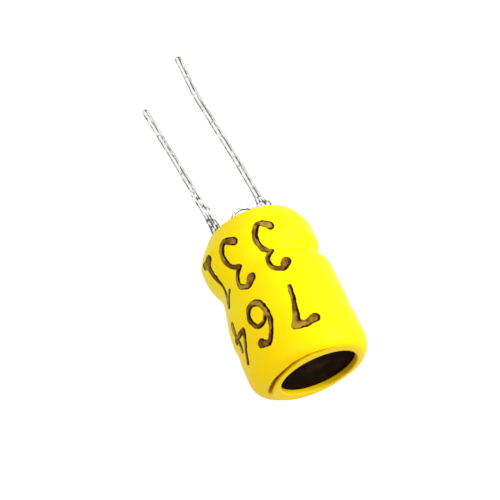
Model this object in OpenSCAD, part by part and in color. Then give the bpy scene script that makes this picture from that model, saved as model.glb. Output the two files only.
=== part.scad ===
// Radial drum core inductor: a ferrite dumbbell wound with enamelled wire,
// two tinned leads glued into its lower flange, and a shrink sleeve round it.
// The leads run down -Z, and the origin is the centre of the sleeve's seating rim.

/* [Sleeve] */
// Outside diameter over the flanges
sleeve_d = 9.15; // [9.1:0.05:9.4]
// Height from the seating rim to the lip at the open end
sleeve_h = 12.6; // [12.2:0.1:14]
// Wall of the shrunk tube
sleeve_wall = 0.38; // [0.3:0.01:0.38]
// Inside radius of the seating rim
rim_inner_r = 3.4; // [3.3:0.05:3.45]
// Outside radius of the flat part of the seating rim
rim_outer_r = 3.55; // [3.5:0.01:3.65]
// Height of the shoulder above the seating rim
low_shoulder_h = 1.8; // [1.7:0.05:1.85]
// Height of the shoulder below the open end's lip
high_shoulder_h = 1.4; // [1.2:0.05:1.6]
// Radius of the hole in the open end
mouth_r = 2.94; // [2.7:0.02:3]
// How far the hole stands off the centre
mouth_offset = 0.37; // [0:0.01:0.4]
// Direction in which the hole stands off, in degrees from the long lead
mouth_azimuth = -40; // [-180:5:180]
// Outside radius of the raised lip round the hole
lip_r = 3.5; // [3.4:0.02:3.56]
// How far the lip stands above the shoulder
lip_h = 0.2; // [0.12:0.02:0.3]
// Depth of the waist where the winding ends short of the lower flange
waist_depth = 0.42; // [0.1:0.02:0.42]
// Height of that waist
waist_z = 3.95; // [3.7:0.05:4.1]

/* [Drum core] */
// Diameter of both flanges
flange_d = 8.35; // [8:0.05:8.35]
// Thickness of the flange that holds the leads
low_flange_t = 2; // [1.9:0.05:2.1]
// Thickness of the flange at the open end
high_flange_t = 1.6; // [1.4:0.05:1.9]
// Bevel on the outer edge of the flange that holds the leads
low_bevel = 1.2; // [1.15:0.05:1.3]
// Bevel on the outer edge of the flange at the open end
high_bevel = 0.75; // [0.7:0.05:0.9]
// Diameter of the post inside the winding
post_d = 4; // [3.6:0.1:4]
// Gap between the seating rim and the flange above it
flange_lift = 0.7; // [0.6:0.05:0.75]
// How far the open end's flange lies below the lip
face_recess = 0.45; // [0.44:0.01:0.5]

/* [Winding] */
// Diameter of the enamelled wire
wire_d = 0.25; // [0.2:0.01:0.25]
// Direction of the notch for each lead's tail, in degrees from that lead
notch_azimuth = 70; // [66:1:74]
// Turns of each tail round its lead
wrap_turns = 2; // [1:0.5:2.5]
// How far each tail sags below the seating rim
tail_sag = 0.94; // [0.7:0.02:1]

/* [Leads] */
// Diameter of the tinned leads
lead_d = 0.6; // [0.5:0.05:0.6]
// Distance between the two leads where they leave the core
lead_pitch = 5; // [4.8:0.05:5]
// Depth of the blind holes that hold the leads
hole_depth = 1.6; // [1.2:0.1:1.7]
// Direction in which both leads lean, in degrees from the long lead
lean_azimuth = 140; // [120:5:160]
// Lean of the long lead where it leaves the core, in degrees
long_lean = 4.1; // [2:0.1:6]
// Lean of the long lead's middle stretch
long_mid_lean = 5.8; // [2:0.1:8]
// Lean of the long lead's straight tip
long_tip_lean = 0.6; // [0:0.1:8]
// Height of the long lead's straight tip
long_tip = 4.1; // [3:0.1:6]
// Depth of the long lead's first knee below the seating rim
long_knee = 5.2; // [4:0.1:6]
// Depth of the long lead's tip below the seating rim
long_reach = 17; // [15:0.1:24]
// Lean of the short lead where it leaves the core
short_lean = 5.9; // [2:0.1:6.5]
// Lean of the short lead's straight tip
short_tip_lean = 6.6; // [2:0.1:8]
// Height of the short lead's straight tip
short_tip = 6.2; // [4:0.1:7]
// Depth of the short lead's tip below the seating rim
short_reach = 15.85; // [14:0.05:22]

/* [Solder] */
// Radius of the solder over the wraps
solder_r = 0.66; // [0.65:0.01:0.7]
// Length of the solder that runs down the long lead
long_solder = 0.6; // [0.5:0.1:2]
// Length of the solder that runs down the short lead
short_solder = 5.6; // [2:0.1:6]

/* [Hidden] */
$fn = 96;

sleeve_r = sleeve_d / 2;
flange_r = flange_d / 2;
post_r = post_d / 2;
lead_r = lead_d / 2;
wire_r = wire_d / 2;

// heights of the core, from the seating rim
low_face_z = flange_lift;
window_low_z = low_face_z + low_flange_t;
high_face_z = sleeve_h - face_recess;
window_high_z = high_face_z - high_flange_t;
core_fillet = 0.3;
inner_bevel = 0.12;
corner_steps = 4;
past = 1;

// the sleeve's side is a cylinder drawn in by bell-shaped dips: [height, depth, half width]
side_dips = [[waist_z, waist_depth, 0.7], [waist_z + 1.35, 0.14, 1.4], [waist_z + 5, 0.06, 0.5]];
side_steps = 40;
shoulder_steps = 10;
edge_round = 0.1;
fit_gap = 0.02;

// the low shoulder is stretched over the core's bevel: 2 would be a quarter ellipse, 1 a cone
shoulder_power = 1.35;

// the crease round the lip is a tilted ring, deepest opposite the mouth's offset
crease_r = 0.14;
crease_ring_r = lip_r + 0.12;
crease_z = sleeve_h - lip_h + 0.09;
crease_tilt = 1.8;

// the winding's outer layers, as [height above which the count holds, layers]
layer_steps = [[0, 6], [4.5, 8], [6.4, 9], [8.4, 8], [9.6, 9]];
layer_pitch = wire_d * sin(60);
coil_play = 0.1;
turns = floor((window_high_z - window_low_z - coil_play) / wire_d);

// the leads: the root is straight inside the core, and the bends have one radius
lead_bend_r = 1.2;
root_below = 0.15;
root_gap = 0.05;
tip_chamfer = 0.06;
hole_r = lead_r + 0.075;
run_start_z = low_face_z - root_below;

// the glue stands round each lead as a low bead, flat where it meets the lead
bead_r = lead_r + 0.36;
bead_h = 0.22;
bead_flat_r = lead_r + 0.05;
bead_steps = 5;

// each tail leaves through a notch, hangs below the rim and wraps its lead
tail_r = 3.54;
tail_top_z = waist_z + 0.75;
notch_w = wire_d + 0.35;
notch_floor_r = tail_r - wire_r - 0.2;
notch_top_z = window_low_z + 0.01;
wrap_pitch = wire_d + 0.03;
wrap_r = lead_r + wire_r + fit_gap;
wrap_start = 1.65;
wrap_start_angle = 188;
wrap_steps = 12;
tail_steps = 4;
tail_sides = 8;

// knots of a tail before its wraps: [step in from tail_r, turn from the notch, height]
tail_rows = [[0, 0, tail_top_z], [0, 0, low_face_z + 0.6], [0.42, 0, low_face_z - 0.35],
             [0.6, 4, -0.6 * tail_sag], [0.8, 16, -tail_sag], [1.04, 32, -tail_sag]];
entry_row = 5;
entry_turns = [0, 0.1];

// the solder's foot lies on the glue, and its run-out thins by this share with a cube and the rest evenly
solder_start = 0.3;
solder_foot = 0.08;
solder_skin = 0.03;
solder_cube = 0.6;
run_out_steps = 8;
run_out_power = 1.5;
wrap_room = wire_r + solder_skin;

function unit(v) = v / norm(v);
function polar(r, a, z) = [r * cos(a), r * sin(a), z];

function bell(z, dip) = dip[1] * exp(-pow((z - dip[0]) / dip[2], 2));
function side_r(z) = sleeve_r - bell(z, side_dips[0]) - bell(z, side_dips[1]) - bell(z, side_dips[2]);

// points of the sleeve's side and low shoulder, drawn in by inset
function side_points(inset, z0, z1) =
    [for (i = [0:side_steps]) let (z = z0 + (z1 - z0) * i / side_steps) [side_r(z) - inset, z]];
function low_shoulder(inset) =
    let (low_r = rim_outer_r - inset, top_r = side_r(low_shoulder_h) - inset, p = 2 / shoulder_power)
    [for (i = [shoulder_steps - 1:-1:1]) let (t = 90 * i / shoulder_steps)
        [low_r + (top_r - low_r) * pow(cos(t), p),
         low_shoulder_h - (low_shoulder_h - inset) * pow(sin(t), p)]];
function high_shoulder() =
    let (z = sleeve_h - high_shoulder_h, h = high_shoulder_h - lip_h)
    [for (i = [1:shoulder_steps]) let (t = 90 * i / shoulder_steps)
        [lip_r + (sleeve_r - lip_r) * cos(t), z + h * sin(t)]];
function quarter(i) = 90 * i / corner_steps;

module sleeve_outside() {
    rotate_extrude() polygon(concat(
        [[0, 0], [rim_outer_r, 0]],
        low_shoulder(0),
        side_points(0, low_shoulder_h, sleeve_h - high_shoulder_h),
        high_shoulder(),
        [for (i = [0:corner_steps])
            [lip_r - edge_round * (1 - cos(quarter(i))), sleeve_h - edge_round * (1 - sin(quarter(i)))]],
        [[0, sleeve_h]]));
}

module sleeve_inside() {
    inner_r = sleeve_r - sleeve_wall;
    face_r = flange_r - high_bevel;
    bevel_z = high_face_z + fit_gap - (inner_r - face_r);
    translate([0, 0, -past]) cylinder(r = rim_inner_r, h = past + low_shoulder_h);
    rotate_extrude() polygon(concat(
        [[0, sleeve_wall], [rim_outer_r - sleeve_wall, sleeve_wall]],
        low_shoulder(sleeve_wall),
        side_points(sleeve_wall, low_shoulder_h, bevel_z),
        [[face_r, high_face_z + fit_gap], [0, high_face_z + fit_gap]]));
}

module mouth_cutter() {
    translate(polar(mouth_offset, mouth_azimuth, 0))
        rotate_extrude() polygon(concat(
            [[0, window_high_z], [mouth_r, window_high_z]],
            [for (i = [0:corner_steps])
                [mouth_r + edge_round * (1 - cos(quarter(i))),
                 sleeve_h - edge_round * (1 - sin(quarter(i)))]],
            [[mouth_r + edge_round, sleeve_h + past], [0, sleeve_h + past]]));
}

module crease_cutter() {
    translate([0, 0, crease_z])
        rotate([0, 0, mouth_azimuth])
            rotate([0, -crease_tilt, 0])
                rotate_extrude() translate([crease_ring_r, 0]) circle(crease_r);
}

module shrink_sleeve() {
    color("yellow") difference() {
        sleeve_outside();
        sleeve_inside();
        mouth_cutter();
        crease_cutter();
    }
}

module core_blank() {
    rotate_extrude() polygon(concat(
        [[0, low_face_z], [flange_r - low_bevel, low_face_z], [flange_r, low_face_z + low_bevel],
         [flange_r, window_low_z - inner_bevel], [flange_r - inner_bevel, window_low_z]],
        [for (i = [0:corner_steps]) let (t = quarter(i))
            [post_r + core_fillet * (1 - sin(t)), window_low_z + core_fillet * (1 - cos(t))]],
        [for (i = [corner_steps:-1:0]) let (t = quarter(i))
            [post_r + core_fillet * (1 - sin(t)), window_high_z - core_fillet * (1 - cos(t))]],
        [[flange_r - inner_bevel, window_high_z], [flange_r, window_high_z + inner_bevel],
         [flange_r, high_face_z - high_bevel], [flange_r - high_bevel, high_face_z], [0, high_face_z]]));
}

module notch_cutter(azimuth) {
    rotate([0, 0, azimuth]) translate([notch_floor_r + notch_w / 2, 0, 0]) {
        cylinder(d = notch_w, h = notch_top_z);
        translate([0, -notch_w / 2, 0]) cube([flange_r, notch_w, notch_top_z]);
    }
}

module drum_core() {
    color("#2b2420") difference() {
        core_blank();
        for (side = [1, -1])
            translate([side * lead_pitch / 2, 0, 0]) cylinder(r = hole_r, h = low_face_z + hole_depth);
        notch_cutter(notch_azimuth);
        notch_cutter(notch_azimuth + 180);
    }
}

// a lead's runs as [length, turn before the run], from the lean of each run and the height of its end
function bend_drop(a, b) = lead_bend_r * abs(sin(b) - sin(a));
function runs(leans, ends) =
    [for (i = [0:len(leans) - 1])
        let (start = i == 0 ? run_start_z : ends[i - 1], before = i == 0 ? 0 : leans[i - 1])
        [(start - ends[i] - bend_drop(before, leans[i])) / cos(leans[i]), leans[i] - before]];
long_runs = runs([long_lean, long_mid_lean, long_tip_lean], [-long_knee, long_tip - long_reach, -long_reach]);
short_runs = runs([short_lean, short_tip_lean], [short_tip - short_reach, -short_reach]);

module bend(turn) {
    mirror([turn < 0 ? 1 : 0, 0, 0])
        translate([lead_bend_r, 0, 0]) rotate([0, 180, 0]) rotate([90, 0, 0])
            rotate_extrude(angle = abs(turn)) translate([lead_bend_r, 0]) circle(lead_r);
}

module past_bend(turn) {
    dir = sign(turn);
    translate([dir * lead_bend_r * (1 - cos(turn)), 0, -lead_bend_r * sin(abs(turn))])
        rotate([0, -turn, 0]) children();
}

module lead_runs(runs, i = 0) {
    length = runs[i][0];
    turn = runs[i][1];
    bend(turn);
    past_bend(turn) {
        if (i + 1 < len(runs)) {
            translate([0, 0, -length]) cylinder(r = lead_r, h = length);
            translate([0, 0, -length]) lead_runs(runs, i + 1);
        } else {
            translate([0, 0, -length + tip_chamfer]) cylinder(r = lead_r, h = length - tip_chamfer);
            translate([0, 0, -length]) cylinder(r1 = lead_r - tip_chamfer, r2 = lead_r, h = tip_chamfer);
        }
    }
}

module at_run_start(side) {
    translate([side * lead_pitch / 2, 0, run_start_z]) rotate([0, 0, lean_azimuth]) children();
}

module lead(side, runs) {
    at_run_start(side) {
        cylinder(r = lead_r, h = low_face_z + hole_depth - root_gap - run_start_z);
        lead_runs(runs);
    }
}

module long_lead() {
    color("silver") lead(1, long_runs);
}

module short_lead() {
    color("silver") lead(-1, short_runs);
}

// glue fills the hole round the lead and stands as a low bead at its mouth
module lead_glue(side, runs) {
    top_z = low_face_z + hole_depth;
    difference() {
        translate([side * lead_pitch / 2, 0, 0])
            rotate_extrude() polygon(concat(
                [[0, low_face_z - bead_h], [bead_flat_r, low_face_z - bead_h]],
                [for (i = [1:bead_steps]) let (t = 90 * i / bead_steps)
                    [bead_flat_r + (bead_r - bead_flat_r) * sin(t), low_face_z - bead_h * cos(t)]],
                [[hole_r, low_face_z], [hole_r, top_z], [0, top_z]]));
        lead(side, runs);
    }
}

module long_lead_glue() {
    color("#cfc9b4") lead_glue(1, long_runs);
}

module short_lead_glue() {
    color("#cfc9b4") lead_glue(-1, short_runs);
}

// solder: a bulb over the wraps, hollow where they lie, running out down the lead
function run_out_r(s) =
    lead_r + solder_skin
    + (solder_r - lead_r - 2 * solder_skin) * (solder_cube * pow(1 - s, 3) + (1 - solder_cube) * (1 - s));

module lead_solder(side, runs, run_out) {
    lean = runs[0][1];
    hollow_low = wrap_start - wrap_turns * wrap_pitch - wrap_room;
    hollow_end = wrap_start + wrap_room;
    bulb_end = hollow_end + 2 * solder_skin;
    foot_r = lead_r + solder_foot;
    difference() {
        at_run_start(side) rotate([0, -lean, 0]) mirror([0, 0, 1])
            rotate_extrude() polygon(concat(
                [[0, solder_start], [foot_r, solder_start]],
                [for (i = [1:bead_steps]) let (t = 90 * i / bead_steps)
                    [foot_r + (solder_r - foot_r) * sin(t),
                     solder_start + (hollow_low - solder_start) * (1 - cos(t))]],
                [[solder_r, bulb_end]],
                [for (i = [0:run_out_steps]) let (s = i / run_out_steps)
                    [run_out_r(s), bulb_end + solder_skin + run_out * pow(s, run_out_power)]],
                [[0, bulb_end + solder_skin + run_out]]));
        at_run_start(side) rotate([0, -lean, 0]) mirror([0, 0, 1])
            translate([0, 0, hollow_low])
                cylinder(r = wrap_r + wire_r + solder_skin, h = hollow_end - hollow_low);
        for_side(side) tube(tail_entry(lean, lean_dir(side)), wire_r + solder_skin);
        lead(side, runs);
    }
}

module long_lead_solder() {
    color("#c4c6c8") lead_solder(1, long_runs, long_solder);
}

module short_lead_solder() {
    color("#c4c6c8") lead_solder(-1, short_runs, short_solder);
}

function layers_at(z) = let (held = [for (s = layer_steps) if (z >= s[0]) s[1]]) held[len(held) - 1];

module coil() {
    margin = (window_high_z - window_low_z - turns * wire_d) / 2;
    rotate_extrude() polygon(concat(
        [[post_r + fit_gap, window_low_z + margin + core_fillet],
         [post_r + fit_gap + core_fillet, window_low_z + margin]],
        [for (n = [0:turns - 1]) for (a = [-72:36:72])
            let (z = window_low_z + margin + (n + 0.5) * wire_d,
                 r = post_r + wire_r + layer_pitch * (layers_at(z) - 1))
            [r + wire_r * cos(a), z + wire_r * sin(a)]],
        [[post_r + fit_gap + core_fillet, window_high_z - margin],
         [post_r + fit_gap, window_high_z - margin - core_fillet]]));
}

// a tail's path, with its own lead on the +X side
function curve_point(p, i, t) =
    let (a = p[max(i - 1, 0)], b = p[i], c = p[i + 1], d = p[min(i + 2, len(p) - 1)])
    (2 * b + (c - a) * t + (2 * a - 5 * b + 4 * c - d) * t * t + (3 * b - a - 3 * c + d) * t * t * t) / 2;
function curve(p, steps) = [for (i = [0:len(p) - 2]) for (k = [0:steps - 1]) curve_point(p, i, k / steps)];
function wrap_point(lean, lean_dir, turn) =
    let (s = wrap_start - turn * wrap_pitch)
    [lead_pitch / 2, 0, run_start_z] + s * [sin(lean) * cos(lean_dir), sin(lean) * sin(lean_dir), -cos(lean)]
    + polar(wrap_r, wrap_start_angle + 360 * turn, 0);
function tail_knots(lean, lean_dir) = concat(
    [for (row = tail_rows) polar(tail_r - row[0], notch_azimuth - row[1], row[2])],
    [wrap_point(lean, lean_dir, 0)]);
function tail_path(lean, lean_dir) = concat(
    curve(tail_knots(lean, lean_dir), tail_steps),
    [for (i = [0:wrap_turns * wrap_steps]) wrap_point(lean, lean_dir, i / wrap_steps)]);

// the end of the tail's path, where it goes into the solder
function tail_entry(lean, lean_dir) =
    let (way = curve(tail_knots(lean, lean_dir), tail_steps))
    concat([for (i = [entry_row * tail_steps:len(way) - 1]) way[i]],
           [for (turn = entry_turns) wrap_point(lean, lean_dir, turn)]);

// a round tube along a path, its rings turned as little as the path allows
function tangents(p) = [for (i = [0:len(p) - 1]) unit(p[min(i + 1, len(p) - 1)] - p[max(i - 1, 0)])];
function square_to(v, t) = unit(v - (v * t) * t);
function normals(t, i = 0, last = [0, 1, 0]) =
    i == len(t) ? [] : let (n = square_to(last, t[i])) concat([n], normals(t, i + 1, n));

module tube(path, r) {
    t = tangents(path);
    n = normals(t);
    count = len(path);
    points = [for (i = [0:count - 1]) for (k = [0:tail_sides - 1])
        let (a = 360 * k / tail_sides) path[i] + r * (cos(a) * n[i] + sin(a) * cross(t[i], n[i]))];
    walls = [for (i = [0:count - 2]) for (k = [0:tail_sides - 1])
        let (a = i * tail_sides + k, b = i * tail_sides + (k + 1) % tail_sides)
        [a, a + tail_sides, b + tail_sides, b]];
    ends = [[for (k = [0:tail_sides - 1]) k],
            [for (k = [tail_sides - 1:-1:0]) (count - 1) * tail_sides + k]];
    polyhedron(points, concat(walls, ends));
}

module for_side(side) {
    rotate([0, 0, side > 0 ? 0 : 180]) children();
}

function lean_dir(side) = lean_azimuth - (side > 0 ? 0 : 180);

module winding() {
    color("#9a4a1c") {
        coil();
        for_side(1) tube(tail_path(long_lean, lean_dir(1)), wire_r);
        for_side(-1) tube(tail_path(short_lean, lean_dir(-1)), wire_r);
    }
}

drum_core();
winding();
long_lead();
short_lead();
long_lead_glue();
short_lead_glue();
long_lead_solder();
short_lead_solder();
shrink_sleeve();
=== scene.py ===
"""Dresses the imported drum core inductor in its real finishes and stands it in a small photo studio."""

import math

import bpy
import numpy as np
from bpy.props import FloatProperty, FloatVectorProperty, IntProperty, PointerProperty, StringProperty
from bpy.types import Operator, Panel, PropertyGroup
from mathutils import Matrix, Vector


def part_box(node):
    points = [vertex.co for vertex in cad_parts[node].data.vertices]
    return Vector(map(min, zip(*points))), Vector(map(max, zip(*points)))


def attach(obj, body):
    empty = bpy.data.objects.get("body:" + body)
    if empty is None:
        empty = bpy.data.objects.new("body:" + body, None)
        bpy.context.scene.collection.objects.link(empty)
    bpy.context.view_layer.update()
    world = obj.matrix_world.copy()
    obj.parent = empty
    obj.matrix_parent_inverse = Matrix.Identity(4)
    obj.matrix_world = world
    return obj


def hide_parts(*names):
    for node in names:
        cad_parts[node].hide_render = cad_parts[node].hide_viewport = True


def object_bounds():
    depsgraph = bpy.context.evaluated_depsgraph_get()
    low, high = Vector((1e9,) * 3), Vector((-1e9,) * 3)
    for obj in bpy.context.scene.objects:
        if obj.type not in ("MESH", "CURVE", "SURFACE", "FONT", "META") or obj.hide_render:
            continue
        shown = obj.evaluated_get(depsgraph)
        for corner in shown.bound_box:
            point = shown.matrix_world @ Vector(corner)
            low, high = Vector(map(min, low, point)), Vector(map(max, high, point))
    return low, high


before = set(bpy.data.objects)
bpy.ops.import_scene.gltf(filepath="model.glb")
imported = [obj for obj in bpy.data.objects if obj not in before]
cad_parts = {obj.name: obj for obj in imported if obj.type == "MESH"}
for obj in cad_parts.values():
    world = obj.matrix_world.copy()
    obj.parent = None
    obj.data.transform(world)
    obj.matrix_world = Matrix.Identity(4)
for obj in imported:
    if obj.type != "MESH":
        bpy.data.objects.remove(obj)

bl_info = {
    "name": "Drum Core Inductor",
    "version": (1, 0, 0),
    "blender": (4, 5, 0),
    "location": "3D View > Sidebar > Inductor",
    "description": "Builds the sleeve, winding, leads and studio of a radial drum core inductor",
    "category": "Add Mesh",
}

MM = 0.001
SEED = 11
CAD_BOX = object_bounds()
SLEEVE_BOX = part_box("shrink_sleeve")
CORE_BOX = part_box("drum_core")


# ---------------------------------------------------------------- settings

def linear(hex_colour):
    """Turns an sRGB hex colour into linear RGBA."""
    parts = [int(hex_colour[i:i + 2], 16) / 255 for i in (1, 3, 5)]
    return [c / 12.92 if c <= 0.04045 else ((c + 0.055) / 1.055) ** 2.4 for c in parts] + [1.0]


def length(name, description, size_mm):
    """A length property, given in millimetres and held in metres."""
    return FloatProperty(name=name, description=description, default=size_mm * MM, unit="LENGTH",
                         precision=5)


def angle(name, description, degrees):
    """An angle property, given in degrees."""
    return FloatProperty(name=name, description=description, default=math.radians(degrees),
                         subtype="ANGLE")


def colour(name, description, hex_colour):
    """A colour property, given as sRGB hex."""
    return FloatVectorProperty(name=name, description=description, default=linear(hex_colour),
                               subtype="COLOR", size=4, min=0, max=1)


class SleeveSettings(PropertyGroup):
    """Sizes of the heat-shrink sleeve, measured from its seating rim."""

    diameter: length("Outside diameter", "Across the flanges", 2 * SLEEVE_BOX[1].x / MM)
    height: length("Height", "From the seating rim to the lip", SLEEVE_BOX[1].z / MM)
    wall: length("Wall", "Thickness of the shrunk tube", 0.38)
    seat_inner: length("Seat inner radius", "Inside radius of the seating rim", 3.4)
    seat_outer: length("Seat outer radius", "Mean outside radius of the seating rim", 3.52)
    low_shoulder: length("Low shoulder", "Height of the shoulder above the seating rim", 1.78)
    high_shoulder: length("High shoulder", "Height of the shoulder below the lip", 1.4)
    lip_radius: length("Lip radius", "Outside radius of the raised lip", 3.47)
    lip_height: length("Lip height", "How far the lip stands above the shoulder", 0.2)
    mouth_radius: length("Mouth radius", "Radius of the hole over the ferrite", 2.94)
    mouth_offset: length("Mouth offset", "How far the hole stands off the centre", 0.37)
    mouth_azimuth: angle("Mouth direction", "Direction in which the hole stands off", -40)
    value_digits: StringProperty(name="Value digits", description="Digits in the row near the leads",
                                 default="331")
    batch_digits: StringProperty(name="Batch digits", description="Digits in the row near the mouth",
                                 default="764")


class WireSettings(PropertyGroup):
    """Sizes of the leads, the winding and the solder."""

    lead: length("Lead diameter", "Diameter of the tinned leads", 0.6)
    pitch: length("Lead pitch", "Distance between the leads at the core", 5.0)
    lean_azimuth: angle("Lean direction", "Direction in which both leads lean", 140)
    dent: length("Lead dents", "Depth of the dents in the leads", 0.05)
    wire: length("Wire diameter", "Diameter of the enamelled wire", 0.25)
    notch_azimuth: angle("Notch direction", "Direction of each notch from its own lead", 70)
    sag: length("Tail sag", "How far each tail hangs below the seating rim", 0.94)
    solder_radius: length("Solder radius", "Radius of the solder over the wraps", 0.62)
    turn_steps: IntProperty(name="Steps a turn", description="Points in each turn of the coil",
                            default=32, min=12, max=64)
    seed: IntProperty(name="Seed", description="Seed of the dents and lumps", default=SEED, min=0)


class FinishSettings(PropertyGroup):
    """Colours of the finishes."""

    film: colour("Film", "Yellow heat-shrink film", "#FFE600")
    # painted shade: this deeper gold stands in for shade on the film towards the mouth
    shaded_film: colour("Heated film", "The same film where hot air deepened it", "#FFDB00")
    ink: colour("Ink", "Brown marking ink where it lies thick", "#1E0A00")
    dried_ink: colour("Dried ink", "The same ink inside a stroke", "#6E420E")
    worn_ink: colour("Worn ink", "The same ink where the yellow shows through", "#A88A26")
    # painted shade: this brown darkens the fold round the lip and the wall of the mouth
    fold_shade: colour("Fold dust", "Brown dust in the fold round the lip and in the mouth", "#8A4408")
    ferrite: colour("Ferrite", "Sintered nickel zinc ferrite", "#100501")
    ferrite_grain: colour("Ferrite grain", "Its lighter grains", "#2E1A0C")
    tin: colour("Tin", "Bright tin plating on the leads", "#F0F0EE")
    # painted reflection: the dark lines along the leads
    dark_line: colour("Dark line", "Broken dark lines along the leads", "#242424")
    oxide: colour("Oxide", "Dull spots on the tin", "#8E8C88")
    steel: colour("Steel", "Sheared end of a lead's steel core", "#423F3C")
    solder: colour("Solder", "Tin solder", "#EFEFED")
    # the solder's dark tone: random stains, painted shade near the sleeve's rim, and painted reflections
    # in the streaks
    flux_shade_and_reflection: colour("Flux", "Burnt flux on the solder", "#5F5C56")
    enamel: colour("Enamel", "Enamelled copper wire", "#8A3B12")
    dark_enamel: colour("Dark enamel", "The same wire where the enamel is thick", "#5A2208")
    epoxy: colour("Epoxy", "Cloudy epoxy adhesive", "#CFC7A8")
    dark_epoxy: colour("Dark epoxy", "The same adhesive where its filler thins out", "#9A8F6E")


class StudioSettings(PropertyGroup):
    """The camera, the lamps and the floor."""

    view_azimuth: angle("View azimuth", "Direction from which the camera looks, from +X", 50)
    view_elevation: angle("View elevation", "Height of the camera over the horizon", 27.7)
    view_roll: angle("View roll", "How far the camera is rolled", 155.4)
    view_distance: length("View distance", "From the camera to the point that it aims at", 86.6)
    aim: FloatVectorProperty(name="Aim", description="Point at the middle of the picture", precision=5,
                             default=(1.026 * MM, 1.972 * MM, 2.316 * MM), subtype="TRANSLATION")
    lens: FloatProperty(name="Lens", description="Focal length of the camera", default=84.24,
                        subtype="DISTANCE_CAMERA")
    floor_radius: length("Floor radius", "Radius of the pale floor", 400)
    key_power: FloatProperty(name="Key power", description="Power of the large soft lamp", default=0.17,
                             unit="POWER")
    fill_power: FloatProperty(name="Fill power", description="Power of the lamp near the camera",
                              default=0.06, unit="POWER")
    world_level: FloatProperty(name="World level", description="Light from all round", default=0.62)


class InductorSettings(PropertyGroup):
    """All settings of the inductor."""

    sleeve: PointerProperty(type=SleeveSettings)
    wires: PointerProperty(type=WireSettings)
    finish: PointerProperty(type=FinishSettings)
    studio: PointerProperty(type=StudioSettings)


# ---------------------------------------------------------------- shared helpers

def add(tree, kind, inputs=None, **settings):
    """Adds a node, sets its properties, and links or fills its inputs. A node given as an input
    stands for its first output in use."""
    node = tree.nodes.new(kind)
    for name, value in settings.items():
        setattr(node, name, value)
    for key, value in (inputs or {}).items():
        named = [socket for socket in node.inputs if socket.name == key and socket.enabled]
        socket = named[0] if named else node.inputs[key]
        if isinstance(value, bpy.types.Node):
            value = next(output for output in value.outputs if output.enabled)
        if isinstance(value, bpy.types.NodeSocket):
            tree.links.new(value, socket)
        else:
            socket.default_value = value
    return node


def per(size_mm):
    """Texture scale at which a pattern repeats about every so many millimetres."""
    return 1 / (size_mm * MM)


def polar(radius, azimuth, z=0.0):
    """A point from its radius, its azimuth in radians and its height."""
    return Vector((radius * math.cos(azimuth), radius * math.sin(azimuth), z))


def smooth_path(knots, steps):
    """Points on a smooth curve through the knots."""
    knots = np.array([tuple(k) for k in knots], dtype=float)
    padded = np.vstack([knots[:1], knots, knots[-1:]])
    points = []
    for i in range(len(knots) - 1):
        a, b, c, d = padded[i:i + 4]
        for t in np.arange(steps) / steps:
            points.append((2 * b + (c - a) * t + (2 * a - 5 * b + 4 * c - d) * t ** 2
                           + (3 * b - a - 3 * c + d) * t ** 3) / 2)
    return np.vstack([points, knots[-1:]])


def smooth_step(low, high, value):
    """Rises smoothly from 0 at low to 1 at high."""
    t = np.clip((value - low) / (high - low), 0, 1)
    return t * t * (3 - 2 * t)


def bell(value, middle, half_width):
    """Falls smoothly from 1 at the middle."""
    return np.exp(-((value - middle) / half_width) ** 2)


def signed_volume(points, faces):
    """Six times the volume inside a closed mesh of quads, positive if its faces point outwards."""
    a, b, c, d = (points[faces[:, i]] for i in range(4))
    return float(np.einsum("ij,ij->", a, np.cross(b, c)) + np.einsum("ij,ij->", a, np.cross(c, d)))


def ring_shell(name, rings, material):
    """A closed shell through a loop of rings, as (ring, point, xyz) in metres, facing outwards."""
    count, around = rings.shape[:2]
    points = rings.reshape(-1, 3)
    index = np.arange(count * around).reshape(count, around)
    ahead, beside = np.roll(index, -1, axis=0), np.roll(index, -1, axis=1)
    faces = np.stack([index, beside, np.roll(beside, -1, axis=0), ahead], axis=-1).reshape(-1, 4)
    if signed_volume(points, faces) < 0:
        faces = faces[:, ::-1]
    mesh = bpy.data.meshes.new(name)
    mesh.from_pydata(points.tolist(), [], faces.tolist())
    mesh.shade_smooth()
    mesh.materials.append(material)
    return finished(bpy.data.objects.new(name, mesh))


def finished(piece):
    """Links a finished piece, and says what it rides on."""
    bpy.context.scene.collection.objects.link(piece)
    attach(piece, "root")
    return piece


def point_attribute(piece, name, values):
    """Stores one number for each point of a mesh."""
    attribute = piece.data.attributes.new(name, "FLOAT", "POINT")
    attribute.data.foreach_set("value", np.ascontiguousarray(values, dtype=np.float32).ravel())


# ---------------------------------------------------------------- materials

def new_material(name):
    """A material with an empty tree."""
    material = bpy.data.materials.new(name)
    material.use_nodes = True
    material.node_tree.nodes.clear()
    return material, material.node_tree


def blend(tree, value, low, high, one, other):
    """Goes from one tone to the other as a value goes smoothly from low to high."""
    share = add(tree, "ShaderNodeMapRange", {"Value": value, "From Min": low, "From Max": high},
                interpolation_type="SMOOTHSTEP")
    return add(tree, "ShaderNodeMix", {"Factor": share, "A": one, "B": other}, data_type="RGBA")


def surface(tree, height, depth, strength, inputs):
    """Ends a tree with a bump of a depth in millimetres, the shader and the output."""
    bump = add(tree, "ShaderNodeBump", {"Height": height, "Distance": depth * MM, "Strength": strength})
    shader = add(tree, "ShaderNodeBsdfPrincipled", {**inputs, "Normal": bump})
    add(tree, "ShaderNodeOutputMaterial", {"Surface": shader})


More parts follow.
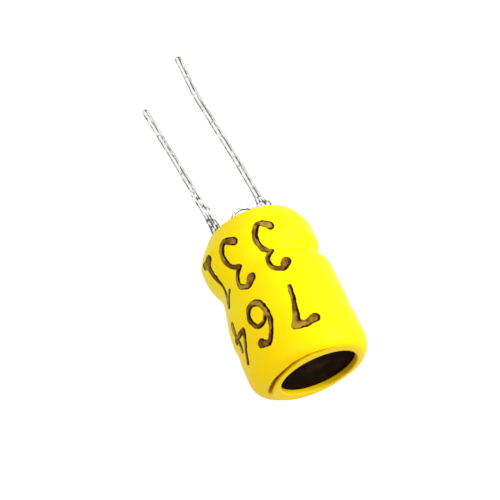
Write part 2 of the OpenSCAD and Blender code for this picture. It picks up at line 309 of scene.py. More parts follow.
def shrink_film_material(finish):
    """Polyolefin heat-shrink film, shrunk with hot air: a satin skin, saturated yellow, with a faint
    orange peel and shallow draw marks, and painted shade that turns it a deeper gold towards the mouth.
    Marking ink lies on it, dark at the edge of each stroke and worn inside, the dark edge painted wider
    on one side as shade, and brown painted shade lies in the fold round the lip and on the mouth's wall."""
    material, tree = new_material("Heat-shrink polyolefin, yellow, hot-air shrunk")
    place = add(tree, "ShaderNodeTexCoord").outputs["Object"]
    ink_edge, ink_inside, painted_shade_share = (add(tree, "ShaderNodeAttribute", attribute_name=name).outputs["Fac"]
                                   for name in ("ink_edge", "ink_inside", "painted_shade"))
    # painted shade: the film turns a deeper gold towards the mouth, in clouds of about 3 mm
    height = add(tree, "ShaderNodeSeparateXYZ", {0: place}).outputs["Z"]
    near_mouth = add(tree, "ShaderNodeMapRange", {"Value": height, "From Min": 4 * MM,
                                                  "From Max": 12 * MM})
    cloud = add(tree, "ShaderNodeTexNoise", {"Vector": place, "Scale": per(3.0)})
    film_shade_share = add(tree, "ShaderNodeMath", {0: near_mouth, 1: cloud}, operation="ADD")
    film = blend(tree, film_shade_share, 0.5, 1.4, finish.film[:], finish.shaded_film[:])
    # the outline of the ink wavers by about 0.05 mm, as ink does on a slick film
    run = add(tree, "ShaderNodeTexNoise", {"Vector": place, "Scale": per(0.5), "Detail": 3.0})
    waver = add(tree, "ShaderNodeMapRange", {"Value": run, "To Min": -0.12, "To Max": 0.12})
    outline = add(tree, "ShaderNodeMath", {0: ink_edge, 1: waver}, operation="ADD")
    printed = add(tree, "ShaderNodeMapRange", {"Value": outline, "From Min": 0.03, "From Max": -0.03},
                  interpolation_type="SMOOTHSTEP")
    # inside a stroke the ink is worn in blotches of about 0.4 mm
    wear = add(tree, "ShaderNodeTexNoise", {"Vector": place, "Scale": per(0.4), "Detail": 3.0,
                                            "Roughness": 0.65})
    blotch = add(tree, "ShaderNodeMapRange", {"Value": wear, "To Min": -0.2, "To Max": 0.2})
    depth = add(tree, "ShaderNodeMath", {0: ink_inside, 1: blotch}, operation="ADD")
    patch = add(tree, "ShaderNodeTexNoise", {"Vector": place, "Scale": per(1.1), "Detail": 2.0})
    inside = blend(tree, patch, 0.4, 0.6, finish.dried_ink[:], finish.worn_ink[:])
    # the dark edge of the ink is print; its greater width on one side of each stroke is painted shade
    ink = blend(tree, depth, -0.04, -0.12, finish.ink[:], inside)
    marked = add(tree, "ShaderNodeMix", {"Factor": printed, "A": film, "B": ink}, data_type="RGBA")
    # painted shade: brown darkens the fold and the mouth's wall, broken up by noise of about 0.6 mm
    shade_mottle = add(tree, "ShaderNodeTexNoise", {"Vector": place, "Scale": per(0.6), "Detail": 3.0})
    shade_mottle_level = add(tree, "ShaderNodeMapRange", {"Value": shade_mottle, "From Min": 0.3, "From Max": 0.6,
                                                   "To Min": 0.7})
    painted_shade = add(tree, "ShaderNodeMath", {0: painted_shade_share, 1: shade_mottle_level}, operation="MULTIPLY")
    skin_colour = add(tree, "ShaderNodeMix", {"Factor": painted_shade, "A": marked, "B": finish.fold_shade[:]},
                      data_type="RGBA")
    # orange peel of about 0.35 mm, and draw marks that run along the tube
    peel = add(tree, "ShaderNodeTexNoise", {"Vector": place, "Scale": per(0.35)})
    along = add(tree, "ShaderNodeMapping", {"Vector": place, "Scale": (1.0, 1.0, 0.25)})
    draw = add(tree, "ShaderNodeTexNoise", {"Vector": along, "Scale": per(0.8)})
    skin = add(tree, "ShaderNodeMath", {0: peel, 1: 0.35, 2: draw}, operation="MULTIPLY_ADD")
    film_bump = add(tree, "ShaderNodeBump", {"Height": skin, "Distance": 0.012 * MM, "Strength": 0.6})
    # the ink stands about 0.02 mm proud
    bump = add(tree, "ShaderNodeBump", {"Height": printed, "Distance": 0.02 * MM, "Normal": film_bump})
    gloss = add(tree, "ShaderNodeMapRange", {"Value": printed, "To Min": 0.4, "To Max": 0.55})
    shader = add(tree, "ShaderNodeBsdfPrincipled", {"Base Color": skin_colour, "Roughness": gloss,
                                                    "IOR": 1.5, "Specular IOR Level": 0.08,
                                                    "Normal": bump})
    add(tree, "ShaderNodeOutputMaterial", {"Surface": shader})
    return material


def ferrite_material(finish):
    """Sintered nickel zinc ferrite, tumbled after pressing: nearly black brown, dull, with a fine
    grain and a few small pits where grains pulled out. The grain is drawn three times too coarse,
    so that it shows."""
    material, tree = new_material("Sintered ferrite, tumbled")
    place = add(tree, "ShaderNodeTexCoord").outputs["Object"]
    patch = add(tree, "ShaderNodeTexNoise", {"Vector": place, "Scale": per(1.4), "Detail": 3.0})
    grain = add(tree, "ShaderNodeTexNoise", {"Vector": place, "Scale": per(0.12), "Detail": 3.0,
                                             "Roughness": 0.7})
    mottle = add(tree, "ShaderNodeMath", {0: patch, 1: grain}, operation="MULTIPLY")
    tone = blend(tree, mottle, 0.2, 0.42, finish.ferrite[:], finish.ferrite_grain[:])
    cells = add(tree, "ShaderNodeTexVoronoi", {"Vector": place, "Scale": per(0.35)})
    pit = add(tree, "ShaderNodeMapRange", {"Value": cells, "From Min": 0.05, "From Max": 0.16,
                                           "To Min": -1.0, "To Max": 0.0},
              interpolation_type="SMOOTHSTEP")
    height = add(tree, "ShaderNodeMath", {0: grain, 1: pit}, operation="ADD")
    gloss = add(tree, "ShaderNodeMapRange", {"Value": grain, "To Min": 0.6, "To Max": 0.8})
    surface(tree, height, 0.02, 0.7, {"Base Color": tone, "Roughness": gloss, "IOR": 1.6,
                                      "Specular IOR Level": 0.01})
    return material


def tin_material(finish):
    """Copper-clad steel wire, hot tinned and wiped: bright, with broken dark lines along it that are
    painted reflections, low lumps, small dull spots of oxide, and bare steel where the end was sheared."""
    material, tree = new_material("Copper-clad steel wire, hot tinned")
    place = add(tree, "ShaderNodeTexCoord").outputs["Object"]
    sheared = add(tree, "ShaderNodeAttribute", attribute_name="sheared").outputs["Fac"]
    speckle = add(tree, "ShaderNodeTexNoise", {"Vector": place, "Scale": per(0.25), "Detail": 3.0,
                                               "Roughness": 0.6})
    skin = blend(tree, speckle, 0.56, 0.7, finish.tin[:], finish.oxide[:])
    # the dark lines are painted reflections; they break up about every 0.2 mm across and 0.5 mm along
    dark_line = add(tree, "ShaderNodeAttribute", attribute_name="dark_line").outputs["Fac"]
    lengthwise = add(tree, "ShaderNodeMapping", {"Vector": place, "Scale": (1.0, 1.0, 0.4)})
    broken = add(tree, "ShaderNodeTexNoise", {"Vector": lengthwise, "Scale": per(0.22), "Detail": 3.0,
                                              "Roughness": 0.6})
    shown = add(tree, "ShaderNodeMapRange", {"Value": broken, "From Min": 0.4, "From Max": 0.52,
                                             "To Min": 0.25})
    line = add(tree, "ShaderNodeMath", {0: dark_line, 1: shown}, operation="MULTIPLY")
    marked = add(tree, "ShaderNodeMix", {"Factor": line, "A": skin, "B": finish.dark_line[:]},
                 data_type="RGBA")
    tone = add(tree, "ShaderNodeMix", {"Factor": sheared, "A": marked, "B": finish.steel[:]},
               data_type="RGBA")
    # wipe marks run along the wire, drawn about four times too coarse, so that they show
    along = add(tree, "ShaderNodeMapping", {"Vector": place, "Scale": (1.0, 1.0, 0.12)})
    wipe = add(tree, "ShaderNodeTexNoise", {"Vector": along, "Scale": per(0.12)})
    lump = add(tree, "ShaderNodeTexNoise", {"Vector": place, "Scale": per(0.55), "Detail": 2.0})
    height = add(tree, "ShaderNodeMath", {0: wipe, 1: 0.2, 2: lump}, operation="MULTIPLY_ADD")
    gloss = add(tree, "ShaderNodeMapRange", {"Value": speckle, "From Min": 0.3, "From Max": 0.7,
                                             "To Min": 0.06, "To Max": 0.18})
    surface(tree, height, 0.09, 0.8, {"Base Color": tone, "Metallic": 1.0, "Roughness": gloss})
    return material


def solder_material(finish):
    """Tin solder, run on by hand: a satin skin with soft ripples, dark stains at random, painted shade
    that darkens it towards the sleeve's rim, and thin dark streaks down the lead that are painted
    reflections."""
    material, tree = new_material("Tin solder, hand run")
    place = add(tree, "ShaderNodeTexCoord").outputs["Object"]
    ripple = add(tree, "ShaderNodeTexNoise", {"Vector": place, "Scale": per(0.3), "Detail": 3.0})
    height_z = add(tree, "ShaderNodeSeparateXYZ", {0: place}).outputs["Z"]
    # painted shade: the solder darkens towards the sleeve's rim
    near_rim = add(tree, "ShaderNodeMapRange", {"Value": height_z, "From Min": -5.5 * MM,
                                                "From Max": -0.8 * MM, "To Max": 0.14})
    stain = add(tree, "ShaderNodeTexNoise", {"Vector": place, "Scale": per(0.45), "Detail": 3.0,
                                             "Roughness": 0.6})
    stain_and_shade = add(tree, "ShaderNodeMath", {0: stain, 1: near_rim}, operation="ADD")
    # painted reflection: the thin dark streaks stand in for dark things that the solder would mirror
    streak = add(tree, "ShaderNodeAttribute", attribute_name="streak").outputs["Fac"]
    streaked = add(tree, "ShaderNodeMath", {0: streak, 1: 0.2, 2: stain_and_shade}, operation="MULTIPLY_ADD")
    tone = blend(tree, streaked, 0.61, 0.74, finish.solder[:], finish.flux_shade_and_reflection[:])
    gloss = add(tree, "ShaderNodeMapRange", {"Value": ripple, "From Min": 0.3, "From Max": 0.7,
                                             "To Min": 0.14, "To Max": 0.36})
    surface(tree, ripple, 0.12, 0.8, {"Base Color": tone, "Metallic": 1.0, "Roughness": gloss})
    return material


def enamel_material(finish):
    """Copper wire under a clear polyurethane enamel: warm copper red below a hard glossy coat. The
    ends of the tails, which were dipped in solder, are tinned."""
    material, tree = new_material("Enamelled copper wire")
    place = add(tree, "ShaderNodeTexCoord").outputs["Object"]
    tinned = add(tree, "ShaderNodeAttribute", attribute_name="tinned").outputs["Fac"]
    patch = add(tree, "ShaderNodeTexNoise", {"Vector": place, "Scale": per(0.25), "Detail": 3.0})
    copper = blend(tree, patch, 0.35, 0.7, finish.enamel[:], finish.dark_enamel[:])
    silver = blend(tree, patch, 0.55, 0.72, finish.solder[:], finish.oxide[:])
    tone = add(tree, "ShaderNodeMix", {"Factor": tinned, "A": copper, "B": silver}, data_type="RGBA")
    gloss = add(tree, "ShaderNodeMapRange", {"Value": patch, "From Min": 0.3, "From Max": 0.7,
                                             "To Min": 0.18, "To Max": 0.36})
    surface(tree, patch, 0.03, 0.6, {"Base Color": tone, "Metallic": 1.0, "Roughness": gloss,
                                     "Coat Weight": 0.4, "Coat Roughness": 0.12})
    return material


def epoxy_material(finish):
    """Filled epoxy, cured as a bead: cloudy buff, glossy on top, with small bubbles."""
    material, tree = new_material("Filled epoxy, cured bead")
    place = add(tree, "ShaderNodeTexCoord").outputs["Object"]
    cloud = add(tree, "ShaderNodeTexNoise", {"Vector": place, "Scale": per(0.4), "Detail": 3.0})
    tone = blend(tree, cloud, 0.35, 0.65, finish.epoxy[:], finish.dark_epoxy[:])
    cells = add(tree, "ShaderNodeTexVoronoi", {"Vector": place, "Scale": per(0.3)})
    bubble = add(tree, "ShaderNodeMapRange", {"Value": cells, "From Min": 0.05, "From Max": 0.2,
                                              "To Min": -1.0, "To Max": 0.0},
                 interpolation_type="SMOOTHSTEP")
    height = add(tree, "ShaderNodeMath", {0: cloud, 1: bubble}, operation="ADD")
    gloss = add(tree, "ShaderNodeMapRange", {"Value": cloud, "To Min": 0.15, "To Max": 0.4})
    surface(tree, height, 0.02, 0.6, {"Base Color": tone, "Roughness": gloss, "IOR": 1.55})
    return material


# ---------------------------------------------------------------- sleeve

# lengths are in millimetres
CORE_BEVEL = 0.75
FIT_GAP = 0.02
EDGE_ROUND = 0.08
MOUTH_ROUND = 0.14
SEAT_ROUND = 0.03

# points round each ring, and rings along the outside and the inside
AROUND = 360
SHOULDER_RINGS = 24
SIDE_RINGS = 124
TOP_SHOULDER_RINGS = 40
LIP_RINGS = 7
LIP_EDGE_RINGS = 6
LIP_TOP_RINGS = 6
MOUTH_EDGE_RINGS = 8
MOUTH_WALL_RINGS = 5
INNER_SIDE_RINGS = 30
INNER_SHOULDER_RINGS = 8

# the seating rim is drawn in more on one side, and its shoulder is pulled tight at one corner
SEAT_DRIFT = 0.2
SEAT_DRIFT_AZIMUTH = math.radians(20)
SHOULDER_POWER = 1.65
# where the low shoulder is more of a cone or rounder, as (azimuth, spread, change of its power)
SHOULDER_CHANGES = ((math.radians(90), math.radians(42), 0.28),
                    (math.radians(-12), math.radians(36), -0.28))
CORNER_AZIMUTH = math.radians(118)
CORNER_SPREAD = math.radians(35)
CORNER_DROP = 0.25

# where the side is drawn in, as (height, rise away from the mouth's side, half width, wider away
# from it, depth, deeper on the mouth's side, deeper away from it); the first is the waist
SIDE_DIPS = ((3.95, 0.35, 0.62, 0.5, 0.42, 0.3, 0.0),
             (5.3, 0.35, 1.4, 0.0, 0.0, 0.0, 0.3),
             (2.3, 0.0, 0.9, 0.0, 0.0, 0.12, 0.0),
             (8.95, 0.0, 0.5, 0.0, 0.06, 0.0, 0.0))
DENT_DEPTH = 0.012
DENT_WAVES = range(2, 7)
DENT_TWIST = 0.9
# small pleats where the tube shrank round both ends, as (depth, waves), and how unevenly they lie
PLEATS = ((0.012, 26), (0.008, 41))
PLEAT_SWAY = 2
PLEAT_SWAYS = 3
PLEAT_FADE = 4

# the lip's outer edge runs wide on one side and close to the mouth on the other, as (azimuth where
# a change starts, azimuth where it ends, change in radius)
LIP_START = -60
LIP_CHANGES = ((-60, 15, 0.38), (35, 90, -0.68), (115, 160, 0.3))
# the lip stands up only where the fold is, and elsewhere runs into the shoulder
LIP_RISES = (25, 75)
LIP_FALLS = (290, 230)
LIP_LEAST = 0.03
# the fold outside the lip: where it fades in and out, and where it grows to its full width
FOLD_FADE_IN = (10, 40)
FOLD_GROWS = (30, 120)
FOLD_FADE_OUT = (144, 136)
FOLD_THIN = 0.5
# the next number sets how strongly painted shade darkens the fold
FOLD_SHADE = 2.2
FOLD_DROP = 0.05
FOLD_OUT = 0.05
FOLD_HALF_WIDTH = 0.14
FOLD_DEPTH = 0.2
FOLD_INWARD = 0.07

# painted shade: brown also darkens the wall of the mouth, on the side to which the mouth stands off
MOUTH_SHADE = 0.6
MOUTH_SHADE_TURN = math.radians(-35)
MOUTH_SHADE_SPREAD = math.radians(48)
MOUTH_SHADE_REACH = 0.06

# the inside of the sleeve clears the winding above this height, and its tails below it
WINDING_HEIGHT = 4.4
WINDING_CLEAR = 3.8
TAIL_CLEAR = 3.68

# strokes of plain digits in a box one unit wide and one high, as rows of (x, y, weight)
DIGIT_STROKES = {
    "1": [[(0.12, 0.78, 0.9), (0.38, 0.88, 0.9), (0.58, 1.0, 1.0), (0.56, 0.55, 0.8), (0.54, 0.12, 1.5)],
          [(0.18, 0.03, 1.3), (0.52, 0.06, 1.6), (0.92, 0.03, 1.2)]],
    "3": [[(0.05, 0.88, 1.7), (0.42, 1.0, 1.0), (0.88, 0.88, 0.9), (0.86, 0.66, 0.8), (0.42, 0.54, 0.7)],
          [(0.42, 0.54, 0.7), (0.92, 0.44, 0.9), (1.0, 0.2, 1.0), (0.6, 0.0, 1.0), (0.05, 0.1, 1.4)]],
    "4": [[(0.68, 1.0, 0.8), (0.35, 0.68, 0.8), (0.02, 0.34, 0.9)],
          [(0.02, 0.34, 0.9), (0.5, 0.33, 0.9), (1.0, 0.34, 1.0)],
          [(0.76, 0.66, 0.8), (0.75, 0.3, 0.9), (0.74, 0.0, 1.3)]],
    "7": [[(0.02, 0.94, 1.5), (0.5, 1.0, 1.2), (0.95, 0.96, 1.5)],
          [(0.95, 0.96, 1.5), (0.66, 0.55, 0.9), (0.5, 0.0, 0.7)]],
    "6": [[(0.9, 0.92, 1.5), (0.5, 1.0, 0.9), (0.12, 0.7, 0.8), (0.03, 0.32, 0.9), (0.25, 0.03, 1.0),
           (0.72, 0.0, 1.0), (1.0, 0.22, 0.9), (0.8, 0.5, 0.8), (0.38, 0.5, 0.8), (0.08, 0.3, 0.7)]],
}
# the digits' azimuths in degrees, and each row's middle height, digit height and digit width
DIGIT_AZIMUTHS = (37.5, 74.5, 106.0)
VALUE_ROW = (3.85, 4.0, 1.45)
BATCH_ROW = (8.95, 3.1, 1.6)
STROKE_HALF_WIDTH = 0.24
STROKE_STEPS = 6
# painted shade: the inside of each stroke is measured moved to one side, so that the dark edge of the ink
# shows wider on one side, as a shadow side
INK_SHADE_SHIFT = (-0.1, 0.07)
# how far in from the full radius the side still takes ink, and the distance that stands for no ink
INK_REACH = 1.1
NO_INK = 1.0


def mouth_reach(azimuth, sleeve):
    """Distance from the axis to the edge of the mouth, in millimetres."""
    turned = azimuth - sleeve.mouth_azimuth
    offset, radius = sleeve.mouth_offset / MM, sleeve.mouth_radius / MM
    return offset * np.cos(turned) + np.sqrt(radius ** 2 - (offset * np.sin(turned)) ** 2)


def turn_from_lip_start(azimuth):
    """Azimuths in degrees, from the lip's start to one turn past it."""
    return (np.degrees(azimuth) - LIP_START) % 360 + LIP_START


def lip_reach(azimuth, sleeve):
    """Distance from the axis to the outer edge of the lip, in millimetres."""
    turned = turn_from_lip_start(azimuth)
    return sleeve.lip_radius / MM + sum(change * smooth_step(start, stop, turned)
                                        for start, stop, change in LIP_CHANGES)


def lip_step(azimuth, sleeve):
    """How far the lip stands above the shoulder, in millimetres."""
    turned = turn_from_lip_start(azimuth)
    shown = smooth_step(*LIP_RISES, turned) * smooth_step(*LIP_FALLS, turned)
    return sleeve.lip_height / MM * (LIP_LEAST + (1 - LIP_LEAST) * shown)


def side_radius(z, azimuth, sleeve):
    """Radius of the sleeve's side in millimetres, drawn in at its dips and lightly dented."""
    away = (1 - np.cos(azimuth - sleeve.mouth_azimuth)) / 2
    drawn_in = 0.0
    for height, rise, half_width, wider, depth, deeper_near, deeper_away in SIDE_DIPS:
        drawn_in = drawn_in + (bell(z, height + rise * away, half_width + wider * away)
                               * (depth + deeper_near * (1 - away) ** 2 + deeper_away * away))
    rng = np.random.default_rng(SEED)
    for waves in DENT_WAVES:
        round_phase, height_phase = rng.uniform(0, 2 * math.pi, 2)
        dent = 1 + np.sin(waves * azimuth + round_phase) * np.sin(DENT_TWIST * z + height_phase)
        drawn_in = drawn_in + DENT_DEPTH / waves * dent
    return sleeve.diameter / MM / 2 - drawn_in


def low_shoulder(sleeve, azimuth, inset, steps):
    """Rings of the low shoulder above the seating rim, from the rim up, drawn in by inset."""
    corner = bell(azimuth, CORNER_AZIMUTH, CORNER_SPREAD)
    top_z = sleeve.low_shoulder / MM - CORNER_DROP * corner
    top_r = side_radius(top_z, azimuth, sleeve) - inset
    seat_r = sleeve.seat_outer / MM + SEAT_DRIFT * np.cos(azimuth - SEAT_DRIFT_AZIMUTH)
    low_r = np.maximum(seat_r, sleeve.seat_inner / MM + 2 * SEAT_ROUND) - inset
    power = SHOULDER_POWER + sum(change * bell(azimuth, middle, spread)
                                 for middle, spread, change in SHOULDER_CHANGES)
    rings = []
    for t in np.linspace(math.pi / 2, 0, steps + 1):
        across, down = max(math.cos(t), 0) ** power, math.sin(t) ** power
        rings.append((low_r + (top_r - low_r) * across, top_z - (top_z - inset) * down))
    return rings


def outside_rings(sleeve, azimuth):
    """Rings of the sleeve's outside from the seating rim to the mouth, as (radius, height)."""
    top, flat = sleeve.height / MM, np.zeros_like(azimuth)
    sway = PLEAT_SWAY * np.sin(PLEAT_SWAYS * azimuth)
    pleats = sum(depth * np.sin(waves * azimuth + sway) for depth, waves in PLEATS)
    rings = [(flat + sleeve.seat_inner / MM + SEAT_ROUND, flat)]
    shoulder = low_shoulder(sleeve, azimuth, 0, SHOULDER_RINGS)
    rings += [(r + pleats * (1 - z / shoulder[-1][1]) * min(1, z.max()), z) for r, z in shoulder]
    low_z, high_z = shoulder[-1][1], top - sleeve.high_shoulder / MM
    for share in np.linspace(0, 1, SIDE_RINGS)[1:]:
        z = low_z + (high_z - low_z) * share
        rings.append((side_radius(z, azimuth, sleeve), z))
    side_r, lip_r = rings[-1][0], lip_reach(azimuth, sleeve)
    step = lip_step(azimuth, sleeve)
    rise, edge = sleeve.high_shoulder / MM - step, EDGE_ROUND * step / (sleeve.lip_height / MM)
    for t in np.linspace(0, math.pi / 2, TOP_SHOULDER_RINGS)[1:]:
        rings.append((lip_r + (side_r - lip_r) * math.cos(t) + pleats * math.sin(t) ** PLEAT_FADE,
                      high_z + rise * math.sin(t)))
    for share in np.linspace(0, 1, LIP_RINGS)[1:]:
        rings.append((lip_r, high_z + rise + (step - edge) * share))
    for t in np.linspace(0, math.pi / 2, LIP_EDGE_RINGS)[1:]:
        rings.append((lip_r - edge * (1 - math.cos(t)), top - edge * (1 - math.sin(t))))
    lip_top, mouth = lip_r - edge, mouth_reach(azimuth, sleeve)
    for share in np.linspace(0, 1, LIP_TOP_RINGS)[1:-1]:
        rings.append((lip_top + (mouth + MOUTH_ROUND - lip_top) * share, flat + top))
    for t in np.linspace(0, math.pi / 2, MOUTH_EDGE_RINGS):
        rings.append((mouth + MOUTH_ROUND * (1 - math.sin(t)),
                      flat + top - MOUTH_ROUND * (1 - math.cos(t))))
    return rings


def inside_rings(sleeve, azimuth):
    """Rings of the sleeve's inside from the mouth to the seating rim, as (radius, height)."""
    top, wall, flat = sleeve.height / MM, sleeve.wall / MM, np.zeros_like(azimuth)
    mouth = mouth_reach(azimuth, sleeve)
    bevel_r, face_z = CORE_BOX[1].x / MM - CORE_BEVEL, CORE_BOX[1].z / MM + FIT_GAP
    wall_foot = face_z - np.maximum(mouth - bevel_r, 0)
    rings = [(mouth, top - MOUTH_ROUND + (wall_foot - top + MOUTH_ROUND) * share)
             for share in np.linspace(0, 1, MOUTH_WALL_RINGS)[1:]]
    corner = np.maximum(mouth + FIT_GAP, bevel_r)
    rings.append((corner, face_z - (corner - bevel_r)))
    inner_top = face_z - (sleeve.diameter / MM / 2 - wall - bevel_r)
    shoulder = low_shoulder(sleeve, azimuth, wall, INNER_SHOULDER_RINGS)
    low_z = shoulder[-1][1]
    for share in np.linspace(0, 1, INNER_SIDE_RINGS):
        z = inner_top + (low_z - inner_top) * share
        clear = np.where(z > WINDING_HEIGHT, WINDING_CLEAR, TAIL_CLEAR)
        rings.append((np.maximum(side_radius(z, azimuth, sleeve) - wall, clear), z))
    seat_r = sleeve.seat_inner / MM
    rings += [(np.maximum(r, seat_r), z) for r, z in reversed(shoulder[1:-1])]
    rings += [(flat + seat_r, flat + wall), (flat + seat_r, flat + SEAT_ROUND)]
    return rings


def fold_depth(radius, z, azimuth, sleeve):
    """How deep each point of the outside lies in the fold round the lip, from 0 to 1."""
    turned = turn_from_lip_start(azimuth)
    width = FOLD_THIN + (1 - FOLD_THIN) * smooth_step(*FOLD_GROWS, turned)
    shown = smooth_step(*FOLD_FADE_IN, turned) * smooth_step(*FOLD_FADE_OUT, turned)
    ring = lip_reach(azimuth, sleeve) + FOLD_OUT
    height = sleeve.height / MM - lip_step(azimuth, sleeve) - FOLD_DROP
    return width * shown * bell(np.hypot(radius - ring, z - height), 0, FOLD_HALF_WIDTH * width)


def digit_distance(digit, x, y, width, height):
    """Signed distance in millimetres from points to a digit's strokes, negative inside."""
    nearest = np.full(x.shape, NO_INK)
    for stroke in DIGIT_STROKES[digit]:
        path = smooth_path(stroke, STROKE_STEPS)
        across, up = (path[:, 0] - 0.5) * width, (path[:, 1] - 0.5) * height
        for i in range(len(path) - 1):
            dx, dy = across[i + 1] - across[i], up[i + 1] - up[i]
            t = np.clip(((x - across[i]) * dx + (y - up[i]) * dy) / (dx * dx + dy * dy), 0, 1)
            weight = path[i, 2] + (path[i + 1, 2] - path[i, 2]) * t
            gap = np.hypot(x - across[i] - t * dx, y - up[i] - t * dy)
            nearest = np.minimum(nearest, gap - STROKE_HALF_WIDTH * weight)
    return nearest


def ink_distance(radius, z, azimuth, sleeve, shift):
    """Signed distance from every point of the outside to the nearest printed stroke, moved by shift."""
    full = sleeve.diameter / MM / 2
    distance = np.full(radius.shape, NO_INK)
    rows = ((sleeve.value_digits, VALUE_ROW), (sleeve.batch_digits, BATCH_ROW))
    for digits, (middle, height, width) in rows:
        for digit, place in zip(digits, DIGIT_AZIMUTHS):
            turned = (np.degrees(azimuth) - place + 180) % 360 - 180
            x = np.broadcast_to(np.radians(turned) * full, z.shape) + shift[0]
            y = z - middle + shift[1]
            near = (radius > full - INK_REACH) & (np.abs(x) < width) & (np.abs(y) < height)
            printed = digit_distance(digit, x[near], y[near], width, height)
            distance[near] = np.minimum(distance[near], printed)
    return distance


def mouth_shade(radius, z, azimuth, sleeve):
    """How much painted shade darkens each point of the mouth's wall, from 0 to 1."""
    wall = np.abs(radius - mouth_reach(azimuth, sleeve)) < MOUTH_SHADE_REACH
    high = z > sleeve.height / MM - 2 * sleeve.wall / MM
    middle = sleeve.mouth_azimuth + MOUTH_SHADE_TURN
    turned = (azimuth - middle + math.pi) % (2 * math.pi) - math.pi
    return MOUTH_SHADE * bell(turned, 0, MOUTH_SHADE_SPREAD) * (wall & high)


class INDUCTOR_OT_shrink_sleeve(Operator):
    """Build the printed heat-shrink sleeve"""

    bl_idname = "inductor.shrink_sleeve"
    bl_label = "Shrink sleeve"

    def execute(self, context):
        settings = context.scene.inductor
        sleeve = settings.sleeve
        azimuth = np.linspace(-math.pi, math.pi, AROUND, endpoint=False)
        outside = outside_rings(sleeve, azimuth)
        inside = inside_rings(sleeve, azimuth)
        shape = np.array([np.broadcast_arrays(r, z) for r, z in outside + inside])
        radius, height = shape[:, 0], shape[:, 1]
        count = len(outside)
        fold = np.zeros_like(radius)
        ink_edge, ink_inside = np.full_like(radius, NO_INK), np.full_like(radius, NO_INK)
        printable = radius[:count], height[:count], azimuth, sleeve
        ink_edge[:count] = ink_distance(*printable, (0, 0))
        ink_inside[:count] = ink_distance(*printable, INK_SHADE_SHIFT)
        fold[:count] = fold_depth(*printable)
        # painted shade in the fold round the lip and on the mouth's wall
        painted_shade = mouth_shade(radius, height, azimuth, sleeve)
        radius, height = radius - FOLD_INWARD * fold, height - FOLD_DEPTH * fold
        rings = np.stack([radius * np.cos(azimuth), radius * np.sin(azimuth), height], axis=-1)
        piece = ring_shell("printed_sleeve", rings * MM, shrink_film_material(settings.finish))
        point_attribute(piece, "ink_edge", ink_edge)
        point_attribute(piece, "ink_inside", ink_inside)
        point_attribute(piece, "painted_shade", np.clip(FOLD_SHADE * fold + painted_shade, 0, 1))
        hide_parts("shrink_sleeve")
        return {"FINISHED"}


# ---------------------------------------------------------------- wires

# lengths in millimetres and leans in degrees, measured like those of the solid parts
RUN_START = 0.55
ROOT_HEIGHTS = (1.7, 0.8, 0.0)
LEAD_BEND = 1.2
BEND_STEPS = 4
LEAD_STEP = 0.25
TIP_FLATNESS = 0.45
TIP_ROUNDING = 80
TIP_RINGS = 7
LEAD_SIDES = 48
DENT_SIZE = 0.8
DEFAULT_WIRE = 0.6
# each lead: its side, the lean of each run, the height at which each run ends and the length of its
# solder's run-out
LEADS = {
    "long_lead": (1, (4.1, 5.8, 0.6), (-5.2, -12.9, -17.0), 0.75),
    "short_lead": (-1, (5.9, 6.6), (-9.65, -15.85), 5.6),
}

# how far the bare steel runs up from a lead's sheared tip, as a share of the lead's radius
SHEAR_HEIGHT = 0.9

# broken dark lines along each lead, with one greyer side, and dark streaks down the solder, as
# (azimuth, half width, strength) with the angles in degrees; they stand in for dark things that
# bright metal would mirror, and the first four of each are placed for the studio's view
DARK_LINES = ((35, 14, 1.0), (110, 19, 1.0), (-14, 15, 0.7), (-5, 50, 0.22), (180, 9, 0.8),
              (228, 11, 0.9), (290, 12, 0.6))
STREAKS = ((30, 10, 1.0), (62, 7, 0.9), (108, 14, 1.0), (-12, 12, 1.0), (190, 10, 1.0),
           (255, 12, 1.0))

# the tails: radius, turn back from the notch in degrees and height above the rim, then below it in
# shares of the sag
TAIL_IN_NOTCH = ((3.54, 0, 4.7), (3.54, 0, 1.3), (3.12, 0, 0.35))
TAIL_HANGING = ((2.92, 9, 0.55), (2.76, 20, 0.9), (2.52, 34, 0.92))
TAIL_STEPS = 10
TAIL_SIDES = 14
TINNED_BELOW = (-0.2, -0.7)
WRAP_START = 1.42
WRAP_START_AZIMUTH = math.radians(188)
WRAP_TURNS = 2
WRAP_PITCH = 0.28
WRAP_STEPS = 24

# the winding between the flanges: each layer nests in the one below it, and fills the spans that
# are listed for it, else all of the window
WINDOW = (2.75, 10.5)
POST_RADIUS = 2.0
LAYERS = 9
LAYER_NEST = math.sin(math.radians(60))
LAYER_SPANS = {6: ((4.5, 10.5),), 7: ((4.5, 10.5),), 8: ((6.4, 8.4), (9.6, 10.5))}
COIL_SIDES = 6

# the solder down a lead, from the start of its straight run: a bulb over the wraps, then a run-out
SOLDER_START = 0.3
SOLDER_FOOT = 0.08
SOLDER_SKIN = 0.03
LEAST_SKIN = SOLDER_SKIN / 6
SOLDER_CUBE = 0.6
RUN_OUT_POWER = 1.5
BULB_LOW = 0.7
BULB_END = 1.5
SOLDER_RINGS = 120
SOLDER_AROUND = 48
LUMP_DEPTH = {1: 0.03, -1: 0.045}
LUMP_WAVES = 5
LUMP_TWIST = 1.3
LUMP_FADE = 0.5


def lean_vector(lean, azimuth):
    """Unit vector down a lead that leans this many degrees."""
    t = math.radians(lean)
    return Vector((math.sin(t) * math.cos(azimuth), math.sin(t) * math.sin(azimuth), -math.cos(t)))


